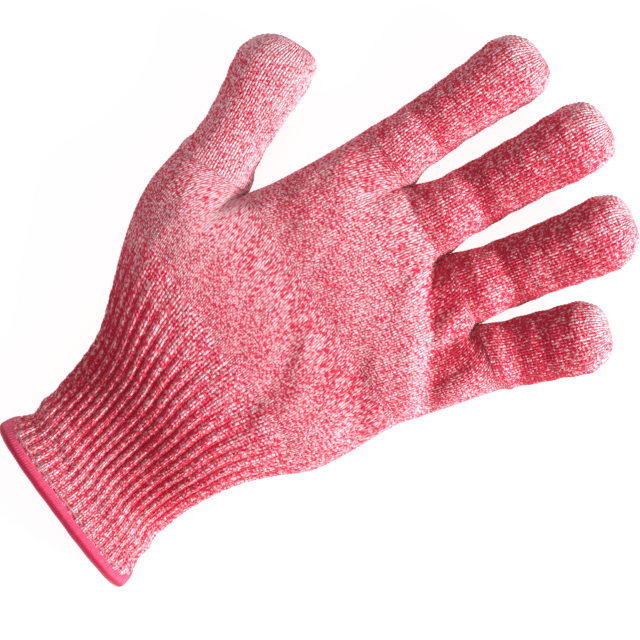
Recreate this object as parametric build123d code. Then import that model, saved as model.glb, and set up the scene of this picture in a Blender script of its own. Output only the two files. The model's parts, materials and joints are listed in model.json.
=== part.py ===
"""Knitted cut resistant glove, size 9, left hand lying palm up.

Millimetres, +Z up. The palm looks up and its back lies on Z = 0; +Y runs from the cuff to the
fingertips and the thumb is on the -X side. The origin is under the middle of the whole glove.

The knit is one hollow shell. Where the wearer's joints bend it, the shell is divided into stiff
lengths, which turn about hinges, and soft bands between them, which stretch and crumple.
"""

from build123d import *
import math
import os

# Fabric and thread
fabric = 1.4            # thickness of the knit
thread_gap = 0.15       # room left between lengths of knit that meet face to face
elastic_thread = 0.8    # covered elastane thread laid into the cuff
needle_thread = 0.6     # sewing thread of the overlocked hem
hem_height = 4.4        # width of the overlocked edge along the cuff
hem_proud = 0.8         # how far the overlock stands out of the knit on each face

# The hand's main stations along Y, before the origin is set
hem_y = -1.6            # where the knit ends inside the hem
wrist_y = 56.0          # wrist bend
wrist_x, wrist_z = -12.0, 14.0      # middle of the wrist's axis, and its height
wrist_reach = 16.0      # how far the wrist's soft band goes, either way along Y
digit_lift = 0.3        # room under the digits' roots where they lie on the table

# Cross-sections of cuff and palm: y, left, right, underside, top, yaw in degrees
cuff_sections = [
    (-1.6, -35.0, 35.8, 1.0, 25.0, 3.0),
    (1.2, -35.15, 35.65, 1.0, 25.0, 3.0),
    (10.0, -33.4, 32.4, 1.2, 25.4, 1.5),
    (24.0, -37.2, 27.9, 1.0, 26.0, 0.0),
    (40.0, -43.0, 28.0, 0.6, 28.0, 0.0),
    (56.0, -55.2, 30.0, 0.0, 30.4, 0.0),
    (70.0, -67.2, 36.0, 0.0, 32.6, 0.0),
]
palm_sections = [
    (42.0, -44.4, 28.2, 0.5, 28.2, 0.0),
    (56.0, -55.2, 30.0, 0.0, 30.4, 0.0),
    (72.0, -69.0, 37.0, 0.0, 32.4, 0.0),
    (86.0, -78.0, 41.5, 0.0, 33.4, 0.0),
    (98.0, -75.0, 42.6, 0.0, 33.4, 0.0),
    (108.0, -62.5, 42.8, 0.0, 32.8, 0.0),
    (117.0, -56.8, 43.8, 0.0, 32.0, 0.0),
    (134.0, -54.2, 47.6, 0.0, 29.4, -3.0),
    (147.0, -53.4, 50.0, 0.0, 25.6, -7.0),
    (155.0, -53.2, 51.6, 0.0, 22.0, -10.0),
    (162.0, -53.0, 52.6, 0.3, 20.4, -11.0),
]
side_share = 0.45       # how much of the thickness the rounded sides take up in width
crown = 0.10            # share of the thickness that the top falls towards its sides

# Digits: root hinge, lean from +Y towards +X, lengths between hinges and to the tip,
# widths at root, along the stall and at the tip, thickness, bends at rest and largest flexion
digits = {
    "index": dict(
        root=(-40.4, 166.0), lean=0.0, axis_lean=0.0, lengths=(24.0, 22.7, 23.2),
        widths=(25.6, 24.0, 25.2), thick=20.0, rest=(0.0, 13.0, -7.0), reach=20.0,
        flex=(65.0, 70.0, 42.0), back=(20.0, 13.0, 5.0),
    ),
    "middle": dict(
        root=(-12.4, 166.0), lean=5.0, axis_lean=2.5, lengths=(26.0, 24.7, 25.4),
        widths=(26.6, 24.2, 25.6), thick=20.2, rest=(0.0, 15.0, -8.0), reach=20.0,
        flex=(65.0, 70.0, 42.0), back=(20.0, 15.0, 5.0),
    ),
    "ring": dict(
        root=(15.9, 162.8), lean=11.5, axis_lean=5.75, lengths=(23.0, 22.3, 22.9),
        widths=(26.0, 25.0, 26.8), thick=20.0, rest=(0.0, 15.0, -8.0), reach=20.0,
        flex=(65.0, 70.0, 42.0), back=(20.0, 15.0, 5.0),
    ),
    "little": dict(
        root=(42.2, 155.0), lean=20.0, axis_lean=10.0, lengths=(17.5, 15.5, 16.6),
        widths=(25.0, 24.6, 25.4), thick=19.2, rest=(0.0, 13.0, -6.0), reach=18.0,
        flex=(65.0, 70.0, 42.0), back=(20.0, 13.0, 5.0),
    ),
    "thumb": dict(
        root=(-72.6, 113.0), lean=-24.5, axis_lean=-24.5, lengths=(26.5, 27.0),
        widths=(32.0, 27.6, 29.4), thick=23.0, rest=(3.0, -3.0), reach=26.0,
        flex=(50.0, 65.0), back=(15.0, 13.0),
    ),
}
segment_names = {3: ("base", "middle", "tip"), 2: ("base", "tip")}
hinge_names = {3: ("knuckle", "middle_joint", "tip_joint"), 2: ("knuckle", "tip_joint")}
band_gap = 1.3          # room kept between two bands at the middle of a short length
hinge_room = 1.0        # half the gap between two lengths, at their hinge axis
hinge_spare = 3.0       # degrees that each pair of cut faces keeps beyond its limit
side_room = 0.9         # room beside a finger root in the notch that it turns in
far = 60.0              # longer than any cut needs
digit_cut = 40.0        # half the width of a cut through one digit
wrist_cut = 110.0       # half the width of a cut through the cuff or the palm
strip_before, strip_beyond = 25.0, 105.0    # a digit's strip, from its root hinge either way
dome_shares = (1.0, 0.55, 0.25, 0.08, 0.01)     # sections of a fingertip's dome, by distance from its end
wrist_flex, wrist_back = 60.0, 45.0

# Elastic and hem
elastic_from, elastic_to, elastic_turns = 8.0, 38.0, 10
elastic_room = 0.25     # room between the elastic and the sloping inside of the cuff


def frame_at(point, yaw):
    """Section plane at a point of the hand: x across, y up, seen from the fingertips."""
    a = math.radians(yaw)
    return Plane(origin=point, x_dir=(math.cos(a), math.sin(a), 0), z_dir=(math.sin(a), -math.cos(a), 0))


def oval(section, inset=0.0):
    """Rounded cross-section with a flat underside and a slightly crowned top."""
    y, left, right, under, top, yaw = section
    middle, half = (left + right) / 2, (right - left) / 2 - inset
    low, high = under + inset, top - inset
    side = (high - low) * side_share
    shoulder = high - (high - low) * crown
    waist = (low + shoulder) / 2
    with BuildSketch(frame_at((middle, y, 0), yaw)) as sketch:
        with BuildLine():
            Line((side - half, low), (half - side, low))
            ThreePointArc((half - side, low), (half, waist), (half - side, shoulder))
            ThreePointArc((half - side, shoulder), (0, high), (side - half, shoulder))
            ThreePointArc((side - half, shoulder), (-half, waist), (side - half, low))
        make_face()
    return sketch.sketch


def section_at(sections, y):
    """Section table read at any y, in straight lines between its rows."""
    for lower, upper in zip(sections, sections[1:]):
        if lower[0] <= y <= upper[0]:
            share = (y - lower[0]) / (upper[0] - lower[0])
            return tuple(a + (b - a) * share for a, b in zip(lower, upper))
    raise ValueError(f"no section at y = {y}")


def lofted(sections, inset=0.0):
    return loft([oval(s, inset) for s in sections], ruled=True)


class Digit:
    """Centreline, hinges and cross-sections of one finger or of the thumb."""

    def __init__(self, name, root, lean, axis_lean, lengths, widths, thick, rest, reach, flex, back):
        self.name, self.lean, self.lengths, self.thick = name, lean, lengths, thick
        self.widths, self.rest, self.reach = widths, rest, reach
        self.flex, self.back = flex, back
        self.segments = segment_names[len(lengths)]
        self.hinges = hinge_names[len(lengths)]
        self.root_width = widths[0]
        self.points, self.pitches = [Vector(root[0], root[1], thick / 2 + digit_lift)], []
        pitch = 0.0
        for length, bend in zip(lengths, rest):
            pitch += bend
            self.pitches.append(pitch)
            self.points.append(self.points[-1] + self.along(pitch) * length)
        turned = math.radians(axis_lean)
        self.axes = [Vector(math.cos(turned), -math.sin(turned), 0)] * len(lengths)

    def along(self, pitch):
        """Direction of a length that rises by pitch degrees."""
        lean, rise = math.radians(self.lean), math.radians(pitch)
        return Vector(math.sin(lean) * math.cos(rise), math.cos(lean) * math.cos(rise), math.sin(rise))

    def stations(self):
        """Point, pitch, width and thickness of each cross-section, from the palm to the fingertip."""
        root_w, stall_w, tip_w = self.widths
        mean_w = (stall_w + tip_w) / 2
        start = self.points[0] - self.along(0) * self.reach
        found = [(start, 0.0, root_w, self.thick), (self.points[0], self.pitches[0] / 2, root_w, self.thick)]
        for i in range(1, len(self.lengths)):
            bisecting = (self.pitches[i - 1] + self.pitches[i]) / 2
            width = stall_w if i == 1 else mean_w
            found.append((self.points[i], bisecting, width, self.thick))
        pitch, end = self.pitches[-1], self.points[-1]
        dome = tip_w / 2
        for share in dome_shares:
            back_off = dome * share
            size = math.sqrt(1 - (1 - share) ** 2)
            found.append((end - self.along(pitch) * back_off, pitch, tip_w * size, self.thick * size))
        return found

    def solid(self, inset=0.0):
        """The stall's space, or with an inset the room for the finger inside it."""
        faces = []
        stations = self.stations()
        dome_at = len(stations) - len(dome_shares)
        for i, (point, pitch, width, thick) in enumerate(stations):
            shrink = inset if i < dome_at else inset * 0.9
            at = point - self.along(pitch) * (inset if i > dome_at else 0)
            plane = Plane(origin=at, x_dir=self.across(), z_dir=self.along(pitch))
            a, b = max(width / 2 - shrink, 0.6), max(thick / 2 - shrink, 0.5)
            faces.append(plane * Ellipse(a, b))
        return loft(faces, ruled=True)

    def across(self):
        lean = math.radians(self.lean)
        return Vector(math.cos(lean), -math.sin(lean), 0)


def cut_side(point, axis, pitch, flex, back, half_width, towards_tip, room):
    """Prism that holds all on one side of a hinge.

    In the plane square to the axis its edge is a V: it starts at the hinge, leaning away by half of
    flex on the palm side and half of back on the other, so that two such sides meet at each limit.
    """
    rise = math.radians(pitch)
    flat = Vector(-axis.Y, axis.X, 0)
    forward = flat * math.cos(rise) + Vector(0, 0, math.sin(rise))
    sign = 1 if towards_tip else -1
    above = math.tan(math.radians(flex / 2 + hinge_spare)) * far
    below = math.tan(math.radians(back / 2 + hinge_spare)) * far
    plane = Plane(origin=point - axis * half_width, x_dir=forward, z_dir=axis)
    upright = 1 if plane.y_dir.Z > 0 else -1
    with BuildSketch(plane) as sketch:
        with BuildLine():
            Polyline(
                (sign * room, 0),
                (sign * (room + above), upright * far),
                (sign * 3 * far, upright * far),
                (sign * 3 * far, -upright * far),
                (sign * (room + below), -upright * far),
                close=True,
            )
        make_face()
    return extrude(sketch.sketch, amount=2 * half_width)


def hinge_sides(digit, i, half_width, room):
    """What lies before and what lies beyond hinge i of a digit."""
    pitch = (digit.pitches[i - 1] + digit.pitches[i]) / 2 if i else digit.pitches[0] / 2
    given = (digit.points[i], digit.axes[i], pitch, digit.flex[i], digit.back[i], half_width)
    return cut_side(*given, False, room), cut_side(*given, True, room)


def wrist_side(towards_fingers, room):
    axis = Vector(1, 0, 0)
    point = Vector(wrist_x, wrist_y, wrist_z)
    return cut_side(point, axis, 0, wrist_flex, wrist_back, wrist_cut, towards_fingers, room)


def box_between(low, high):
    size = [b - a for a, b in zip(low, high)]
    middle = [(a + b) / 2 for a, b in zip(low, high)]
    return Pos(*middle) * Box(*size)


def stall_pieces(digit):
    """The stiff lengths of a stall and the soft bands between them; the first band joins the palm."""
    shell = digit.solid() - digit.solid(fabric)
    count = len(digit.lengths)
    pieces = {}
    for i, name in enumerate(digit.segments):
        beyond = hinge_sides(digit, i, digit_cut, hinge_room)[1]
        piece = shell & beyond
        if i + 1 < count:
            piece = piece & hinge_sides(digit, i + 1, digit_cut, hinge_room)[0]
        pieces[f"{digit.name}_{name}"] = piece
    for i in range(1, count):
        before, beyond = hinge_sides(digit, i, digit_cut, hinge_room - thread_gap)
        around = slab(digit, i, shell)
        pieces[f"{digit.name}_{digit.hinges[i]}_band"] = around - before - beyond
    return pieces


def slab(digit, i, shell):
    """The stretch of a shell that lies within a hinge's reach."""
    neighbours = digit.lengths[max(i - 1, 0):i + 1]
    reach = min(neighbours) / 2 - band_gap
    pitch = (digit.pitches[i - 1] + digit.pitches[i]) / 2 if i else digit.pitches[0] / 2
    centre = digit.points[i]
    plane = Plane(origin=centre - digit.along(pitch) * reach, x_dir=digit.across(), z_dir=digit.along(pitch))
    return shell & extrude(plane * Rectangle(2 * digit_cut, 2 * digit_cut), amount=2 * reach)


def palm_pieces(all_digits):
    """The palm, with the thumb's root knitted into its side, and the band at the root of each digit."""
    thumb = all_digits[-1]
    above_table = box_between((-4 * far, -far, 0), (4 * far, 6 * far, 2 * far))
    shell = ((lofted(palm_sections) + thumb.solid()) & above_table) - lofted(palm_sections, fabric)
    shell = shell - thumb.solid(fabric)
    palm = shell & wrist_side(True, hinge_room)
    bands = {}
    for digit in all_digits:
        half = digit.root_width / 2 + side_room
        before, beyond = hinge_sides(digit, 0, half, hinge_room)
        palm = palm - (strip(digit, half) - before)
        slim_before, slim_beyond = hinge_sides(digit, 0, digit_cut, hinge_room - thread_gap)
        band = slab(digit, 0, digit.solid() - digit.solid(fabric)) - slim_before - slim_beyond
        bands[f"{digit.name}_{digit.hinges[0]}_band"] = band & above_table
    return {"palm": largest(palm), **bands}


def strip(digit, half):
    """Block as wide as a digit's root, from well before its root hinge to past its tip."""
    plane = Plane(origin=digit.points[0] - digit.axes[0] * half, x_dir=digit.along(0), z_dir=digit.axes[0])
    block = Pos((strip_beyond - strip_before) / 2, 0) * Rectangle(strip_beyond + strip_before, 2 * far)
    return extrude(plane * block, amount=2 * half)


def largest(shape):
    return max(shape.solids(), key=lambda s: s.volume)


def cuff_pieces():
    shell = lofted(cuff_sections) - lofted(cuff_sections, fabric)
    cuff = shell & wrist_side(False, hinge_room)
    around = box_between((-2 * far, wrist_y - wrist_reach, -1), (2 * far, wrist_y + wrist_reach, far))
    ring = around & (lofted(palm_sections) - lofted(palm_sections, fabric))
    slim = hinge_room - thread_gap
    band = ring - wrist_side(False, slim) - wrist_side(True, slim)
    return {"cuff": largest(cuff), "wrist_band": band}


def hem():
    """Overlock threads wrapped round the knit's raw edge: a rounded bead with a slot for the knit."""
    edge = cuff_sections[0]
    out, inn = -hem_proud, fabric + hem_proud
    bead = extrude(oval(edge, out), amount=hem_height / 2, both=True)
    bead -= extrude(oval(edge, inn), amount=hem_height, both=True)
    slot = extrude(oval(edge, -thread_gap / 2), amount=-hem_height)
    slot -= extrude(oval(edge, fabric + thread_gap / 2), amount=-hem_height)
    return bead - slot


def ring_of_thread(y, inset, diameter):
    """One turn of thread following the cuff's cross-section, a little flattened on every side."""
    section = section_at(cuff_sections, y)
    outer = extrude(oval(section, inset), amount=diameter / 2, both=True)
    return outer - extrude(oval(section, inset + diameter), amount=diameter, both=True)


def main():
    all_digits = [Digit(name, **sizes) for name, sizes in digits.items()]
    parts = {}
    parts.update(cuff_pieces())
    parts.update(palm_pieces(all_digits))
    for digit in all_digits:
        parts.update(stall_pieces(digit))
    parts["hem_overlock"] = hem()
    step = (elastic_to - elastic_from) / (elastic_turns - 1)
    inside = fabric + elastic_room
    turns = [ring_of_thread(elastic_from + i * step, inside, elastic_thread) for i in range(elastic_turns)]
    parts["cuff_elastic"] = Compound(children=turns)
    boxes = [p.bounding_box() for p in parts.values()]
    low = [min(tuple(b.min)[k] for b in boxes) for k in range(3)]
    high = [max(tuple(b.max)[k] for b in boxes) for k in range(3)]
    shift = (-(low[0] + high[0]) / 2, -(low[1] + high[1]) / 2, 0)
    print("shift", [round(v, 3) for v in shift], "low", low, "high", high)
    os.makedirs("parts", exist_ok=True)
    for name, shape in parts.items():
        export_step(Pos(*shift) * shape, f"parts/{name}.step")
    return all_digits, shift


if __name__ == "__main__":
    main()
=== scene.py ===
import json
import math

import bmesh
import bpy
import numpy as np
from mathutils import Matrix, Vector


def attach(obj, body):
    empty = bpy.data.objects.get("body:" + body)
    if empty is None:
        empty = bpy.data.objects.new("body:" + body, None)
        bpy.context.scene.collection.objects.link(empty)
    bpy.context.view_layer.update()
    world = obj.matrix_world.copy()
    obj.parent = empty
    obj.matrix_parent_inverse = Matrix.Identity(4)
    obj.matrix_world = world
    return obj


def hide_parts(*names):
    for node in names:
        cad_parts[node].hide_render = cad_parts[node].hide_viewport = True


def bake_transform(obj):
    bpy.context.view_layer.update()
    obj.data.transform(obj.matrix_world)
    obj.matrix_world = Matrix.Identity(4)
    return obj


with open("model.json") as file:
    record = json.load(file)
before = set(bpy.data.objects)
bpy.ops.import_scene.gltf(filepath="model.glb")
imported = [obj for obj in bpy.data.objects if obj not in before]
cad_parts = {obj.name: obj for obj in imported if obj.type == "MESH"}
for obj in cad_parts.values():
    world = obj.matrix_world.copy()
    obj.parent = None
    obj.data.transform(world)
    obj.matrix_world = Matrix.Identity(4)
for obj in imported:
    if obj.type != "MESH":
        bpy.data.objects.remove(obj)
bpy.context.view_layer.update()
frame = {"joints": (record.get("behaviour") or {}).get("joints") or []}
jointTable = {j["name"]: j for j in frame["joints"]}

# Shapes are worked out in millimetres from the middle of the cuff's edge, +Y along the fingers.
# The wrist hinge says where that point is in the row frame.
wristHinge = (-12.6, 56.0, 14.0)
handShift = np.array(jointTable["wrist"]["pos_m"]) * 1000 - np.array(wristHinge)


def toRow(points):
    # millimetres of the hand to metres of the row frame: (point + shift) / 1000
    return (np.asarray(points, float) + handShift) / 1000


def inHand(jointName):
    # a joint's place in the hand's millimetres: metres * 1000 - shift
    return np.array(jointTable[jointName]["pos_m"]) * 1000 - handShift


# the knit: wall thickness, height of a course, size of the stitch relief, and the grid that carries it
fabric = {"thickness": 1.3, "course": 1.36, "relief": 0.26, "rowsPerCourse": 4, "columnsPerWale": 6}
# one stitch: the groove between its two legs, how its loops lean, and the level that keeps the mean near 0
loop = {"edgePower": 4, "groove": 0.45, "grooveWidth": 0.11, "lean": 0.33, "slant": 0.75, "level": 0.55}
profileSteps = 12001      # fine enough that the stretches of a profile come out equal


def ease(t):
    # 0 below 0, 1 above 1, and 3t^2 - 2t^3 in between
    t = np.clip(t, 0, 1)
    return t * t * (3 - 2 * t)


def hump(distance, width):
    # bell curve: 1 on the line, 1/e one width away from it
    return np.exp(-(distance / width) ** 2)


def between(v, start, rise, end, fall):
    # 1 between start and end, eased up over rise after start and down over fall before end
    return ease((v - start) / rise) * ease((end - v) / fall)


def unit(v):
    # each vector divided by its own length
    return v / np.linalg.norm(v, axis=-1, keepdims=True)


def through(xs, ys, x):
    # smooth curve through stations: cubic pieces whose slopes are the mean slopes at the stations
    xs, ys, x = np.asarray(xs, float), np.asarray(ys, float), np.asarray(x, float)
    slope = np.gradient(ys, xs)
    i = np.clip(np.searchsorted(xs, x) - 1, 0, len(xs) - 2)
    step = xs[i + 1] - xs[i]
    t = np.clip((x - xs[i]) / step, 0, 1)
    return ((2 * t ** 3 - 3 * t ** 2 + 1) * ys[i] + (t ** 3 - 2 * t ** 2 + t) * step * slope[i]
            + (3 * t ** 2 - 2 * t ** 3) * ys[i + 1] + (t ** 3 - t ** 2) * step * slope[i + 1])


def evenProfile(halfWidth, height, power, count):
    # half of a superellipse, |x|^p + |z|^p = 1, cut into count stretches of equal length
    t = np.linspace(0, np.pi, profileSteps)
    x = -np.sign(np.cos(t)) * np.abs(np.cos(t)) ** (2 / power)
    z = np.abs(np.sin(t)) ** (2 / power)
    run = np.hypot(np.diff(x) * halfWidth, np.diff(z) * height)
    run = np.concatenate([[0], np.cumsum(run)])
    even = np.linspace(0, run[-1], count + 1)
    return np.interp(even, run, x), np.interp(even, run, z)


def gridNormals(p):
    # cross product of the two directions along the grid, made one long
    across = np.roll(p, -1, 1) - np.roll(p, 1, 1)
    along = np.gradient(p, axis=0)
    n = np.cross(across, along)
    return n / np.maximum(np.linalg.norm(n, axis=2, keepdims=True), 1e-9)


def knitRelief(wale, course, size):
    # size * (1 - |2x|^4 - groove - level + lean * cosine of the slanting course), with x across a wale
    x = np.mod(wale, 1.0) - 0.5
    leg = np.abs(x)
    across = 1 - (2 * leg) ** loop["edgePower"]
    groove = loop["groove"] * hump(leg, loop["grooveWidth"])
    lean = np.cos(2 * np.pi * (course + loop["slant"] * leg))
    return size * (across - groove - loop["level"] + loop["lean"] * lean * across)


# rectangles of the bake map: a piece with one grid, and the outer face and the lining of a knit piece
bakeWhole = (0.004, 0.004, 0.996, 0.996)
bakeOuter = (0.003, 0.003, 0.997, 0.865)
bakeLining = (0.003, 0.885, 0.997, 0.997)


def meshFromGrids(name, grids):
    # quads join each point of a grid p[rows, columns] to its neighbours, and the last column to the first;
    # a grid has its stitch coordinates too, and may have its paleness with painted light and shade, its
    # rectangle of the bake map, and a note that it faces inward
    places, corners, stitch, bake, paintedPale, start = [], [], [], [], [], 0
    for g in grids:
        p = g["p"]
        rows, columns = p.shape[:2]
        r = np.repeat(np.arange(rows - 1), columns)
        c = np.tile(np.arange(columns), rows - 1)
        c2 = (c + 1) % columns
        quad = np.stack([r * columns + c, r * columns + c2, (r + 1) * columns + c2, (r + 1) * columns + c], 1)
        rr = np.stack([r, r, r + 1, r + 1], 1)
        cc = np.stack([c, c + 1, c + 1, c], 1)
        if g.get("inward", False):
            quad, rr, cc = quad[:, ::-1], rr[:, ::-1], cc[:, ::-1]
        u0, v0, u1, v1 = g.get("bake", bakeWhole)
        bake.append(np.stack([u0 + (u1 - u0) * cc / columns, v0 + (v1 - v0) * rr / (rows - 1)], 2))
        stitch.append(np.stack([g["stitchU"][cc], g["stitchV"][rr]], 2))
        places.append(toRow(p.reshape(-1, 3)))
        paintedPale.append(g.get("paintedPale", np.full(p.shape[:2], 0.5)).ravel())
        corners.append(quad + start)
        start += rows * columns
    places = np.concatenate(places)
    corners = np.concatenate(corners)
    mesh = bpy.data.meshes.new(name)
    mesh.vertices.add(len(places))
    mesh.vertices.foreach_set("co", places.ravel().astype(np.float32))
    mesh.loops.add(corners.size)
    mesh.loops.foreach_set("vertex_index", corners.ravel().astype(np.int32))
    mesh.polygons.add(len(corners))
    mesh.polygons.foreach_set("loop_start", np.arange(0, corners.size, 4, dtype=np.int32))
    mesh.polygons.foreach_set("loop_total", np.full(len(corners), 4, dtype=np.int32))
    mesh.polygons.foreach_set("use_smooth", np.ones(len(corners), dtype=bool))
    for layer, values in (("OFBake", bake), ("Stitch", stitch)):
        uv = mesh.uv_layers.new(name=layer)
        uv.data.foreach_set("uv", np.concatenate(values).ravel().astype(np.float32))
    mesh.uv_layers.active = mesh.uv_layers["OFBake"]
    paintedPaleValues = np.concatenate(paintedPale).astype(np.float32)
    mesh.attributes.new("PaleWithPaintedLight", "FLOAT", "POINT").data.foreach_set("value", paintedPaleValues)
    mesh.update(calc_edges=True)
    mesh.validate()
    piece = bpy.data.objects.new(name, mesh)
    bpy.context.collection.objects.link(piece)
    return piece


def finishPiece(piece, material, replaced):
    # material, slot and the plain nodes that the piece stands for
    piece.data.materials.append(material)
    if replaced:
        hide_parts(*replaced)
    print("  piece", piece.name, len(piece.data.polygons), "faces")


def tubeAround(path, radius, sides):
    # round thread along a closed path: path + radius * (cos a * side + sin a * other), both square to the
    # path; rows run along the thread, and each closes on its first point
    ahead = unit(np.roll(path, -1, 0) - np.roll(path, 1, 0))
    side = unit(np.cross(ahead, np.array([0.0, 1.0, 0.0])))
    other = np.cross(ahead, side)
    a = np.linspace(0, 2 * np.pi, sides, endpoint=False)[:, None, None]
    ring = path[None] + radius * (np.cos(a) * side[None] + np.sin(a) * other[None])
    return np.concatenate([ring, ring[:, :1]], 1).transpose(1, 0, 2)


def newGroup(name, inputs, outputs):
    # an empty shader node group with its named inputs and outputs
    group = bpy.data.node_groups.new(name, "ShaderNodeTree")
    for label, kind, value in inputs:
        socket = group.interface.new_socket(label, in_out="INPUT", socket_type=kind)
        if value is not None:
            socket.default_value = value
    for label, kind in outputs:
        group.interface.new_socket(label, in_out="OUTPUT", socket_type=kind)
    return group


class Wires:
    # shorthand for adding and joining nodes in one tree

    def __init__(self, tree):
        self.tree = tree

    def add(self, kind, **settings):
        node = self.tree.nodes.new(kind)
        for key, value in settings.items():
            setattr(node, key, value)
        return node

    def put(self, socket, value):
        if isinstance(value, bpy.types.NodeSocket):
            self.tree.links.new(value, socket)
        else:
            socket.default_value = value

    def math(self, operation, a, b=None):
        node = self.add("ShaderNodeMath", operation=operation)
        for socket, value in zip(node.inputs, (a, b)):
            if value is not None:
                self.put(socket, value)
        return node.outputs[0]

    def spread(self, value, low, high, outLow=0.0, outHigh=1.0, smooth=True):
        node = self.add("ShaderNodeMapRange", interpolation_type="SMOOTHSTEP" if smooth else "LINEAR")
        for label, v in (("Value", value), ("From Min", low), ("From Max", high),
                         ("To Min", outLow), ("To Max", outHigh)):
            self.put(node.inputs[label], v)
        return node.outputs["Result"]

    def mix(self, share, a, b):
        node = self.add("ShaderNodeMix", data_type="RGBA")
        self.put(node.inputs[0], share)
        self.put(node.inputs[6], a)
        self.put(node.inputs[7], b)
        return node.outputs[2]

    def centred(self, value, size):
        # value runs from 0 to 1; the result runs either side of 0
        return self.math("MULTIPLY", self.math("SUBTRACT", value, 0.5), size)

    def noise(self, vector, scale, detail):
        node = self.add("ShaderNodeTexNoise", noise_dimensions="3D")
        node.inputs["Scale"].default_value = scale
        node.inputs["Detail"].default_value = detail
        self.put(node.inputs["Vector"], vector)
        return node

    def parts(self, vector):
        node = self.add("ShaderNodeSeparateXYZ")
        self.put(node.inputs[0], vector)
        return node.outputs

    def vector(self, x, y, z):
        node = self.add("ShaderNodeCombineXYZ")
        for socket, value in zip(node.inputs, (x, y, z)):
            self.put(socket, value)
        return node.outputs[0]


# the yarn's pattern: each noise has its scales across the wales and along the courses, its place in the
# noise, its detail, and its weight in the score that decides between the red and the white ply
marl = {
    "fibre": {"across": 5.2, "along": 2.7, "place": 2.0, "detail": 1.0, "weight": 1.1},
    "runs": {"across": 2.2, "place": 7.0, "detail": 2.0, "weight": 1.0},
    "heads": {"across": 0.75, "along": 1.9, "place": 4.0, "detail": 1.0, "weight": 1.1},
    "broad": {"across": 0.16, "along": 0.10, "place": 1.0, "detail": 2.0, "weight": 0.30},
    "wander": 0.55, "wanderDetail": 2.0, "driftAcross": 0.30, "driftAlong": 1.2,
    "legSlant": 1.1, "plySlant": 1.5, "plyWeight": 0.34, "lotPlace": 3.0, "lotWeight": 0.55,
    "scoreLow": -0.34, "scoreHigh": 0.42,
    "legPower": 2.0, "beadPower": 3.0, "strands": 3, "strandHeight": 0.10, "lotHeight": 0.35,
    "gapShadeBelow": 0.52, "fleckAbove": 0.94, "lotTone": 0.6, "broadTone": 0.4,
}


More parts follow.
